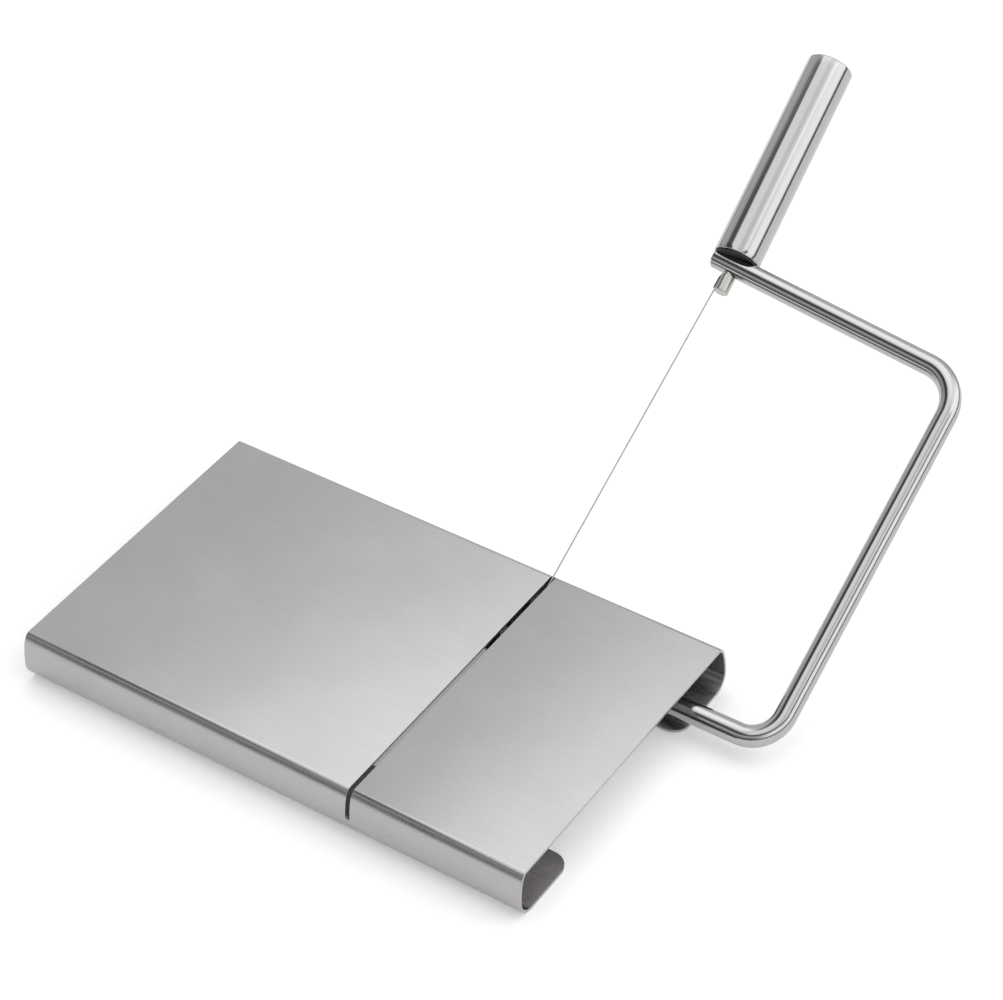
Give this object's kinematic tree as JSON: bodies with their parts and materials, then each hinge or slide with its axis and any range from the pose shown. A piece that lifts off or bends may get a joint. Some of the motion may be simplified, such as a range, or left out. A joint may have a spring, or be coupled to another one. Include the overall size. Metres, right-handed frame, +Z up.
{
  "type": "cheese wire cutter",
  "caption": "Bent steel cutting board with a slot, and a swinging rod bow that carries a taut cutting wire and a cylindrical screw handle which tightens it.",
  "frame": {"origin": "under the middle of the box around the whole cutter with its bow open, on the table", "axes": "+Z up from the table, +X along the board towards the bow's leg, +Y from the board's front edge towards the open bow"},
  "size_m": [0.2463, 0.3238, 0.1301],
  "materials": {
    "board_steel": "satin",
    "rod_steel": "polished",
    "handle_steel": "polished",
    "bracket_steel": "satin",
    "fixing_steel": "satin",
    "spring_steel": "dark phosphate",
    "wire_steel": "drawn",
    "ferrule_metal": "dark",
    "white_nylon": "moulded",
    "black_nylon": "moulded",
    "brass": "turned"
  },
  "bodies": {
    "base": {"board": "board_steel", "hinge_bracket_outer": "bracket_steel", "hinge_bracket_inner": "bracket_steel", "hinge_bush_outer": "white_nylon", "hinge_bush_inner": "white_nylon"},
    "bow": {"bow_rod": "rod_steel", "stop_collar": "fixing_steel", "collar_screw": "spring_steel", "thrust_washer": "fixing_steel", "retaining_clip": "spring_steel", "cutting_wire": "wire_steel", "wire_end_ball": "fixing_steel", "handle_washer": "black_nylon"},
    "handle": {"handle_tube": "handle_steel", "handle_end_disc": "handle_steel", "handle_plug": "black_nylon", "handle_insert": "brass"},
    "stud": {"tension_stud": "fixing_steel", "wire_ferrule": "ferrule_metal"}
  },
  "joints": [
    {"name": "bow_swing", "type": "hinge", "parent": "base", "child": "bow", "pos_m": [0, -0.05868, 0.0088], "axis": [1, 0, 0], "range_deg": [0, 152.3]},
    {"name": "handle_turn", "type": "hinge", "parent": "bow", "child": "handle", "pos_m": [0.0197, 0.08106, 0.08217], "axis": [-0.0576, 0.8839, 0.4641], "range_deg": [0, 1080]},
    {"name": "stud_slide", "type": "slide", "parent": "bow", "child": "stud", "axis": [-0.0576, 0.8839, 0.4641], "range_m": [-0.0021, 0], "deforming": ["cutting_wire"]}
  ],
  "couplings": [
    {"joint": "stud_slide", "follows": "handle_turn", "m_per_rad": -0.0001114}
  ]
}
